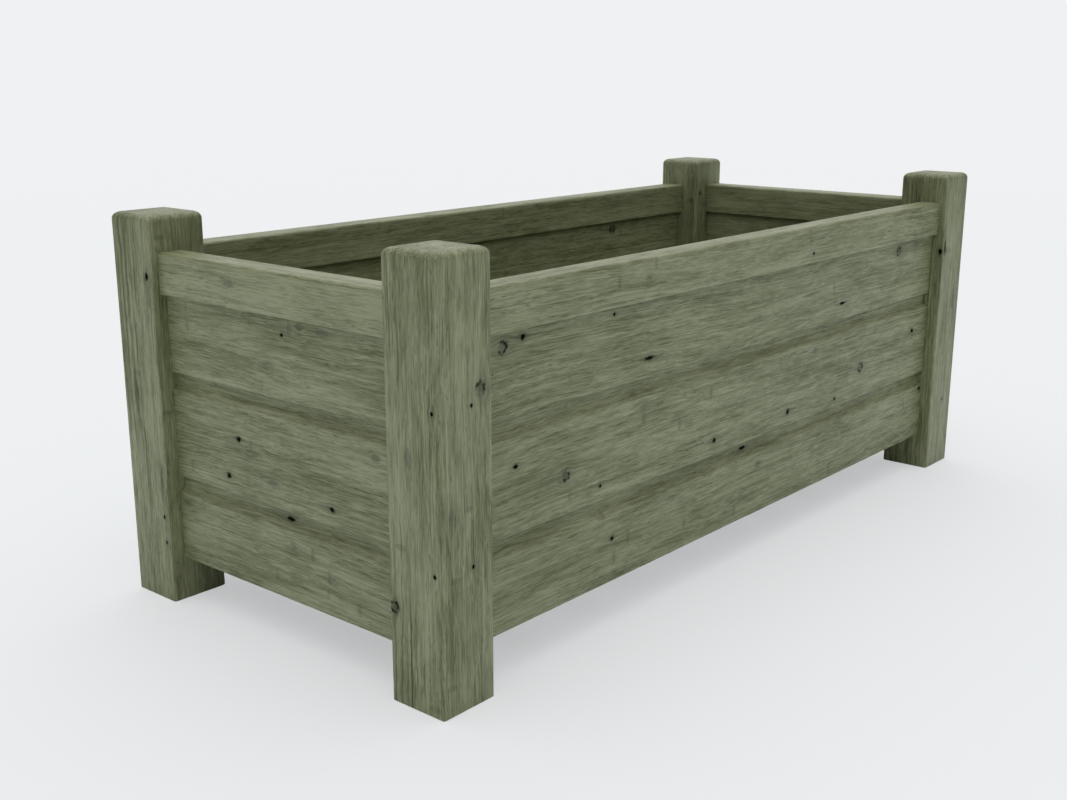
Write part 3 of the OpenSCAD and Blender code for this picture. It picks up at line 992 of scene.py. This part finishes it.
@dataclass
class Wall:
    """One side of the planter: its three lapped boards and its rail.

    The rails are a little paler than the boards, and the left one is the palest.
    """

    side: Side
    groups: Groups
    rail_shade: float = -0.10
    pale_rail_shade: float = -0.26
    face_knot_reach: float = 0.6
    inner_knot_reach: float = 0.3
    lie: Lie = field(init=False)
    half: float = field(init=False)
    axis: int = field(init=False)

    def __post_init__(self) -> None:
        """Works out how the side lies and half the width between its posts."""
        self.lie = self.side.lie()
        self.half = (FAR[0] if self.side.is_long else FAR[1]) - POST_SIDE
        self.axis = 0 if self.side.is_long else 1

    def build(self, knots: dict[str, list[Knot]]) -> None:
        """Builds and dresses the boards and the rail.

        Args:
            knots: The knots of each, by level or as "rail". What isn't given gets random ones.
        """
        for level in range(len(LEVELS)):
            self.board(level, knots.get(LEVELS[level]))
        self.rail(knots.get("rail"))

    def board(self, level: int, knots: list[Knot] | None) -> None:
        """Builds one board.

        Args:
            level: 0 for the bottom one, 1 for the middle one and 2 for the top one.
            knots: Its knots.
        """
        j = JOINERY
        node = f"board_{self.side.word}_{LEVELS[level]}"
        z0, z1 = span(node, 2)
        reach = span(node, self.axis)[1]
        lap = z0
        if level > 0:
            lap = span(f"board_{self.side.word}_{LEVELS[level - 1]}", 2)[1]
        if level < 2:
            lip = span(f"board_{self.side.word}_{LEVELS[level + 1]}", 2)[0]
            hollow = cove(lip - j.recess_h, j.board_setback, j.tongue_outer, j.cove_r)
            upper = hollow + [Corner(z1, j.tongue_outer, 0.8 * MM)]
        else:
            tongue = z1 - j.top_tongue_h
            upper = [Corner(tongue, j.board_setback, 0.4 * MM), Corner(tongue, j.tongue_outer, 0.2 * MM),
                     Corner(z1, j.tongue_outer, 0.6 * MM)]
        corners = [Corner(z0, j.board_setback, 1.5 * MM), *upper, Corner(z1, j.board_inner, 0.8 * MM)]
        if level > 0:
            corners += [Corner(lap, j.board_inner, 0.6 * MM),
                        Corner(lap, j.board_setback + j.lip_t, 0.3 * MM),
                        Corner(z0, j.board_setback + j.lip_t, 0.6 * MM)]
        else:
            corners += [Corner(z0, j.board_inner, 1.0 * MM)]
        seed = 40 + 10 * list(Side).index(self.side) + level
        stick = Stick(node, "stained_timber", self.lie, corners=corners, ends=(-reach, reach),
                      shoulders=(-self.half + j.fit, self.half - j.fit), tongue_across=(lap, z1),
                      tongue_depth=(j.tongue_outer, j.board_inner), seed=seed)
        stick.build()
        rng = np.random.default_rng(seed)
        if knots is None:
            knots = scattered(rng, (-self.half, self.half), (z0, z1), 9 if self.side.is_long else 5)
        inner = scattered(rng, (-self.half, self.half), (z0, z1), 6 if self.side.is_long else 3, j.board_t)
        deep, shallow = j.board_t * self.face_knot_reach, j.board_t * self.inner_knot_reach
        face = [Knot(k.along, k.across, k.kind, j.board_setback, through=deep) for k in knots]
        back = [Knot(k.along, k.across, k.kind, j.board_inner, through=shallow) for k in inner]
        stick.dress(STAINED.material(node, seed, face + back, self.groups))

    def rail(self, knots: list[Knot] | None) -> None:
        """Builds the rail.

        Args:
            knots: Its knots.
        """
        j = JOINERY
        node = f"rail_{self.side.word}"
        z0, z1 = span(node, 2)
        reach = span(node, self.axis)[1]
        outer, inner = j.rail_setback, j.rail_setback + j.rail_t
        groove = (j.tongue_outer - j.fit, j.board_inner + j.fit)
        corners = [Corner(z0, outer, 1.2 * MM), Corner(z1, outer, 3 * MM), Corner(z1, inner, 3 * MM),
                   Corner(z0, inner, 1.2 * MM), Corner(z0, groove[1], 0.3 * MM),
                   Corner(z0 + j.groove_h, groove[1], 0.2 * MM), Corner(z0 + j.groove_h, groove[0], 0.2 * MM),
                   Corner(z0, groove[0], 0.3 * MM)]
        seed = 20 + list(Side).index(self.side)
        stick = Stick(node, "stained_timber", self.lie, corners=corners, ends=(-reach, reach),
                      shoulders=(-self.half, self.half), tongue_across=(z0 + j.groove_h, z1 - j.tenon_top),
                      tongue_depth=j.tenon, seed=seed)
        stick.build()
        rng = np.random.default_rng(seed)
        knots = scattered(rng, (-self.half, self.half), (z0, z1), 3) if knots is None else knots
        deep = j.rail_t * self.face_knot_reach
        face = [Knot(k.along, k.across, k.kind, outer, through=deep) for k in knots]
        shade = self.pale_rail_shade if self.side is Side.LEFT else self.rail_shade
        stick.dress(STAINED.material(node, seed, face, self.groups, shade=shade))


@dataclass
class CornerPosts:
    """The four corner posts with their mortises, grooves and screw holes."""

    groups: Groups
    band: float = 6 * MM
    bands: float = 0.42
    screw_r: float = 2.7 * MM
    head_r: float = 4.95 * MM
    head_drop: float = 0.6 * MM

    def build(self, knots: dict[str, list[Knot]]) -> None:
        """Builds, cuts and dresses the posts.

        Args:
            knots: The knots of each post by node name. Its own frame has the grain up the post,
                and its across and depth along X and Y from the post's middle.
        """
        for number, (long_side, short_side) in enumerate(CORNERS):
            node = f"post_{long_side.word}_{short_side.word}"
            low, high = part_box(node)
            lie = Lie(origin=((low[0] + high[0]) / 2, (low[1] + high[1]) / 2, 0.0),
                      along=(0, 0, 1), across=(1, 0, 0), depth=(0, 1, 0))
            seed = 10 + number
            post = Post(node, "stained_timber", lie, side=POST_SIDE, height=high[2], seed=seed)
            post.build()
            carve(post, self.joints(long_side, short_side))
            given = knots.get(node)
            if given is None:
                rng = np.random.default_rng(seed)
                up, over = (50 * MM, high[2] - 50 * MM), (-30 * MM, 30 * MM)
                face = scattered(rng, up, over, 5, -POST_SIDE / 2)
                other = scattered(rng, up, over, 5, POST_SIDE / 2)
                given = face + [Knot(k.along, k.depth, k.kind, k.across, ACROSS) for k in other]
            post.dress(STAINED.material(node, seed, given, self.groups, band=self.band, bands=self.bands,
                                        cracks=1.0))

    def joints(self, long_side: Side, short_side: Side) -> list[np.ndarray]:
        """The cutters of one post: for each side its board groove, mortise and screw hole.

        Args:
            long_side: The long side that the post stands on.
            short_side: The short side that it stands on.

        Returns:
            Each cutter's rings.
        """
        j = JOINERY
        cutters = []
        for side, other in ((long_side, short_side), (short_side, long_side)):
            lie = side.lie()
            axis = 0 if side.is_long else 1
            towards = float(np.dot(other.value, lie.along[:2]))
            face = (FAR[axis] - POST_SIDE) * towards
            rail, board = f"rail_{side.word}", f"board_{side.word}_bottom"
            tenon_end = (span(rail, axis)[1] + j.end_gap) * towards
            tongue_end = (span(board, axis)[1] + j.end_gap) * towards
            tenon_z = (span(rail, 2)[0] + j.groove_h, span(rail, 2)[1] - j.tenon_top)
            mouth = face - MM * towards
            groove_depth = (j.tongue_outer - j.fit, j.board_inner + j.fit)
            groove_z = (span(board, 2)[0], tenon_z[0] - j.groove_stop)
            cutters.append(box_cutter(lie, (mouth, tongue_end), groove_z, groove_depth))
            cutters.append(box_cutter(lie, (mouth, tenon_end), (tenon_z[0] - j.fit, tenon_z[1] + j.fit),
                                      (j.tenon[0] - j.fit, j.tenon[1] + j.fit)))
            step = j.rail_screw_step / 2 if side.is_long else -j.rail_screw_step / 2
            middle = np.array([face + j.rail_screw_in * towards, sum(tenon_z) / 2 + step, POST_SIDE])
            hole = ScrewHole(tuple(lie.place(middle)), tuple(-c for c in lie.depth),
                             POST_SIDE - j.tenon[1] - j.hole_stop, self.screw_r, self.head_r,
                             self.head_drop)
            cutters.append(hole.rings())
        return cutters


@dataclass
class Floor:
    """The bearers along the foot of the walls and the slats that lie across them.

    Each slat has two screws over each long bearer, at half the screw pitch from its middle. An
    end slat is notched round the posts: it has one screw over each long bearer, midway along its
    stretch between the post and the gap, and two over the short bearer, halfway from the middle
    to the posts. A long bearer's own screws stand under every other gap. A short one has three,
    two thirds of the way to the posts apart.
    """

    groups: Groups
    screw_r: float = 2.2 * MM
    head_r: float = 4.0 * MM
    head_drop: float = 0.6 * MM
    screw_pitch: float = 50 * MM
    post_gap: float = 1 * MM
    slats: list[str] = field(init=False)

    def __post_init__(self) -> None:
        """Finds the slats, counted from the left."""
        found = [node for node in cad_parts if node.startswith("floor_slat_")]
        self.slats = sorted(found, key=lambda node: int(node.rsplit("_", 1)[1]))

    def build(self) -> None:
        """Builds, cuts and dresses the bearers and the slats."""
        for number, side in enumerate(Side):
            self.bar(f"bearer_{side.word}", 0 if side.is_long else 1, 70 + number, self.bearer_seats(side))
        for number, node in enumerate(self.slats):
            self.bar(node, 1, 80 + number, self.slat_seats(node))

    def seat(self, mouth: Point | np.ndarray, inward: Point | np.ndarray, length: float) -> np.ndarray:
        """The cutter of one floor screw's hole."""
        hole = ScrewHole(tuple(mouth), tuple(inward), length, self.screw_r, self.head_r, self.head_drop)
        return hole.rings()

    def bearer_seats(self, side: Side) -> list[np.ndarray]:
        """The holes of one bearer, from its inner face out to the board.

        Args:
            side: The side that it stands on.

        Returns:
            Each cutter's rings.
        """
        low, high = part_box(f"bearer_{side.word}")
        width = high[1] - low[1] if side.is_long else high[0] - low[0]
        if side.is_long:
            gaps = zip(self.slats[0::2], self.slats[1::2])
            places = [(span(left, 0)[1] + span(right, 0)[0]) / 2 for left, right in gaps]
        else:
            places = [third * (FAR[1] - POST_SIDE) * 2 / 3 for third in (-1, 0, 1)]
        lie = side.lie()
        inner = JOINERY.board_inner + width
        mouths = [lie.place(np.array([place, (low[2] + high[2]) / 2, inner])) for place in places]
        return [self.seat(mouth, -np.array(lie.depth), width + MM) for mouth in mouths]

    def slat_seats(self, node: str) -> list[np.ndarray]:
        """The holes of one slat, and the notches of an end slat.

        Args:
            node: The slat's node.

        Returns:
            Each cutter's rings.
        """
        low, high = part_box(node)
        over = sum(span("bearer_back", 1)) / 2
        middle = (low[0] + high[0]) / 2
        thick = high[2] - low[2]
        corner = FAR - POST_SIDE
        cutters = []
        if node in (self.slats[0], self.slats[-1]):
            way = math.copysign(1, middle)
            gap_side = min(abs(low[0]), abs(high[0]))
            places = [(way * (corner[0] + gap_side) / 2, end * over) for end in (-1, 1)]
            short = abs(sum(span("bearer_right", 0))) / 2
            places += [(way * short, end * corner[1] / 2) for end in (-1, 1)]
            notch = (way * (corner[0] - self.post_gap), way * FAR[0])
            for end in (-1, 1):
                across = (end * (corner[1] - self.post_gap), end * FAR[1])
                cutters.append(box_cutter(self.floor_lie(1), across, (low[2] - MM, high[2] + MM), notch))
        else:
            places = [(middle + t * self.screw_pitch / 2, end * over) for end in (-1, 1) for t in (-1, 1)]
        return cutters + [self.seat((*place, high[2]), (0, 0, -1), thick + MM) for place in places]

    def floor_lie(self, axis: int) -> Lie:
        """The frame of a bar that runs along X for axis 0, or along Y for axis 1."""
        along, depth = ((1, 0, 0), (0, -1, 0)) if axis == 0 else ((0, 1, 0), (1, 0, 0))
        return Lie(origin=(0.0, 0.0, 0.0), along=along, across=(0, 0, 1), depth=depth)

    def bar(self, node: str, axis: int, seed: int, cutters: list[np.ndarray]) -> None:
        """Builds one bar in the box of its node, cuts it and dresses it.

        Args:
            node: The node that it stands for.
            axis: 0 where it runs along X, and 1 along Y.
            seed: What picks its grain.
            cutters: What is cut out of it.
        """
        low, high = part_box(node)
        other = 1 - axis
        sign = -1 if axis == 0 else 1
        sides = sorted((sign * low[other], sign * high[other]))
        outline = rectangle((low[2], high[2]), tuple(sides), 1.2 * MM)
        stick = Stick(node, "floor_timber", self.floor_lie(axis), corners=outline,
                      ends=(low[axis], high[axis]), seed=seed, step_along=12 * MM, step_round=6 * MM)
        stick.build()
        carve(stick, cutters)
        rng = np.random.default_rng(seed)
        knots = [Knot(rng.uniform(low[axis], high[axis]), high[2], kind, rng.uniform(*sides), ACROSS, 20 * MM)
                 for kind in (LIVE, BLACK, FAINT)]
        stick.dress(BARE.material(node, seed, knots, self.groups))


@dataclass
class Screws:
    """The three sets of screws, which keep the frame's own shapes."""

    sets: tuple[str, ...] = ("rail_screws", "bearer_screws", "slat_screws")

    def dress(self) -> None:
        """Gives every set the steel finish."""
        steel = STEEL.material("screw_steel")
        for node in self.sets:
            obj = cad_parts[node]
            obj.data.materials.clear()
            obj.data.materials.append(steel)
            LOG.info("%s: %d faces", node, len(obj.data.polygons))


# ---- Studio ----


@dataclass(frozen=True)
class Studio:
    """A pale floor that fades into an even pale surround, soft light from above, and the camera.

    The light's brightness rises with a power of the sine of its height. A soft panel stands
    behind the planter's far corner, as the square of the cosine of the angle from its middle.
    The camera sees the even surround in the place of both.
    """

    surround: Colour = (0.871, 0.879, 0.896)
    overhead: float = 1.50
    overhead_power: float = 1.7
    panel: float = 0.55
    panel_heading: float = 45.0
    floor: Colour = (0.95, 0.985, 1.0)
    floor_r: float = 9.0
    fade_from: float = 2.5
    floor_seen: float = 0.47
    camera_at: Point = (-1.3381, -1.0341, 0.5985)
    camera_heading: float = 49.27
    camera_pitch: float = -14.553
    lens_mm: float = 44.05

    def build(self) -> None:
        """Sets up the light, the floor and the camera."""
        scene = bpy.context.scene
        scene.view_settings.view_transform = "Standard"
        self.build_light()
        self.build_floor()
        lens = bpy.data.cameras.new("camera")
        lens.lens = self.lens_mm
        lens.sensor_width = 36.0
        camera = bpy.data.objects.new("camera", lens)
        camera.location = self.camera_at
        tilt, heading = math.radians(90 + self.camera_pitch), -math.radians(self.camera_heading)
        camera.rotation_euler = (tilt, 0.0, heading)
        scene.collection.objects.link(camera)
        scene.camera = camera

    def build_light(self) -> None:
        """Wires the light and the surround into the world."""
        world = bpy.data.worlds.new("surround")
        bpy.context.scene.world = world
        world.use_nodes = True
        world.node_tree.nodes.clear()
        web = Web(world.node_tree)
        way = web.add("TexCoord").outputs["Generated"]
        height = web.most(web.add("SeparateXYZ", None, Vector=way).outputs["Z"], 0.0)
        heading = math.radians(self.panel_heading)
        panel_way = (math.sin(heading), math.cos(heading), 0.0)
        towards = web.most(web.vector("DOT_PRODUCT", way, panel_way), 0.0)
        light = web.times(web.math("POWER", height, self.overhead_power), self.overhead)
        light = web.math("MULTIPLY_ADD", web.math("POWER", towards, 2.0), self.panel, light)
        lamp = web.add("Background", None, Color=(1.0, 1.0, 1.0, 1.0), Strength=light)
        seen = web.add("Background", None, Color=(*self.surround, 1.0), Strength=1.0)
        mix = web.add("MixShader", None, i0=web.add("LightPath").outputs["Is Camera Ray"], i1=lamp.outputs[0],
                      i2=seen.outputs[0])
        web.add("OutputWorld", None, Surface=mix.outputs[0])

    def build_floor(self) -> None:
        """Lays a disc on the ground whose rim fades out, as rings of points about its middle."""
        turn = np.linspace(0, 2 * np.pi, 96, endpoint=False)
        radii = np.array([0.02, 1.0, 2.5, 5.0, self.floor_r])
        x = radii[:, None] * np.cos(turn)
        y = radii[:, None] * np.sin(turn)
        points = np.stack([x, y, np.zeros_like(x)], axis=-1).reshape(-1, 3)
        faces = grid_faces(len(radii), len(turn)).tolist() + [list(range(len(turn)))]
        mesh = bpy.data.meshes.new("ground")
        mesh.from_pydata(points.tolist(), [], faces)
        ground = bpy.data.objects.new("ground", mesh)
        bpy.context.scene.collection.objects.link(ground)
        material, web = blank_material("ground")
        spot = web.add("TexCoord").outputs["Object"]
        fade = web.ramp(web.vector("LENGTH", spot), self.fade_from, self.floor_r * 0.9, 1.0, 0.0)
        camera_ray = web.add("LightPath").outputs["Is Camera Ray"]
        alpha = web.times(fade, web.math("MULTIPLY_ADD", camera_ray, self.floor_seen - 1.0, 1.0))
        shader = web.add("BsdfPrincipled", None, Base_Color=(*self.floor, 1.0), Roughness=1.0, Alpha=alpha)
        shader.inputs["Specular IOR Level"].default_value = 0.0
        web.add("OutputMaterial", None, Surface=shader.outputs[0])
        mesh.materials.append(material)


# ---- Knots seen on the near sides ----


def knots_by_name(rows: dict[str, list[tuple[float, float, KnotKind]]]) -> dict[str, list[Knot]]:
    """Knots from rows of places in millimetres, by level."""
    return {name: [Knot(a * MM, z * MM, kind) for a, z, kind in row] for name, row in rows.items()}


def front_knots() -> dict[str, list[Knot]]:
    """Knots of the front boards, as places from the middle of the side and heights."""
    return knots_by_name({
        "top": [(-452, 339, LIVE), (-423, 345, BLACK), (377, 340, LIVE), (429, 346, FAINT),
                (-217, 289, SPLIT), (217, 289, SPLIT), (10, 300, SMUDGE), (-280, 346, PIN)],
        "middle": [(-434, 218, BLACK), (438, 218, BLACK), (-358, 191, LIVE), (280, 191, LIVE),
                   (-82, 167, BLACK), (87, 167, BLACK), (-226, 235, FAINT), (151, 236, FAINT),
                   (-300, 165, PIN), (211, 160, PIN)],
        "bottom": [(-7, 139, SPLIT), (-278, 100, BLACK), (-169, 117, SMUDGE), (173, 118, SMUDGE),
                   (478, 124, BLACK), (20, 113, FAINT)],
        "rail": [(-230, 378, FAINT), (120, 366, PIN)]})


def left_knots() -> dict[str, list[Knot]]:
    """Knots of the left boards, as places from the middle of the side, towards the front, and heights."""
    return knots_by_name({
        "top": [(43, 347, FAINT), (75, 345, SMUDGE), (-10, 300, SMUDGE), (15, 335, PIN)],
        "middle": [(-86, 168, BLACK), (81, 167, BLACK), (-66, 212, BLACK), (147, 234, FAINT),
                   (-13, 176, SMUDGE), (-45, 200, SMUDGE)],
        "bottom": [(7, 138, SPLIT), (17, 112, FAINT), (-168, 118, SMUDGE), (75, 90, SMUDGE)],
        "rail": [(-60, 380, SMUDGE)]})


def post_knots() -> dict[str, list[Knot]]:
    """Knots of the posts on the near sides, as heights, places from the post's middle and faces."""
    half = POST_SIDE / 2
    on_left = {"post_front_left": [(297, -26, PIN), (143, -26, PIN), (99, 29, LIVE), (250, 5, SMUDGE)],
               "post_back_left": [(374, -26, BLACK), (101, -26, PIN), (71, -27, PIN), (240, 10, SMUDGE)],
               "post_back_right": [(373, -26, PIN), (300, 5, SMUDGE)],
               "post_front_right": [(355, -20, SMUDGE), (150, -15, PIN), (330, -31, BLACK)]}
    on_front = {"post_front_left": [(312, 19, LIVE), (298, 7, PIN), (143, 7, PIN), (200, -20, SMUDGE)],
                "post_back_left": [(240, -15, FAINT)],
                "post_back_right": [(380, 10, FAINT)],
                "post_front_right": [(336, -28, SPLIT), (250, 15, SMUDGE), (101, 5, PIN)]}
    knots: dict[str, list[Knot]] = {}
    for node, row in on_left.items():
        knots[node] = [Knot(z * MM, -half, kind, y * MM, ACROSS) for z, y, kind in row]
    for node, row in on_front.items():
        knots[node] += [Knot(z * MM, x * MM, kind, -half) for z, x, kind in row]
    return knots


def main() -> None:
    """Builds the studio, then the planter from its posts inwards."""
    logging.basicConfig(level=logging.INFO, format="%(name)s %(message)s")
    Studio().build()
    groups = Groups(grain=grain_group(), knot=knot_group())
    CornerPosts(groups).build(post_knots())
    near = {Side.FRONT: front_knots(), Side.LEFT: left_knots()}
    for side in Side:
        Wall(side, groups).build(near.get(side, {}))
    Floor(groups).build()
    Screws().dress()


if __name__ == "__main__":
    main()
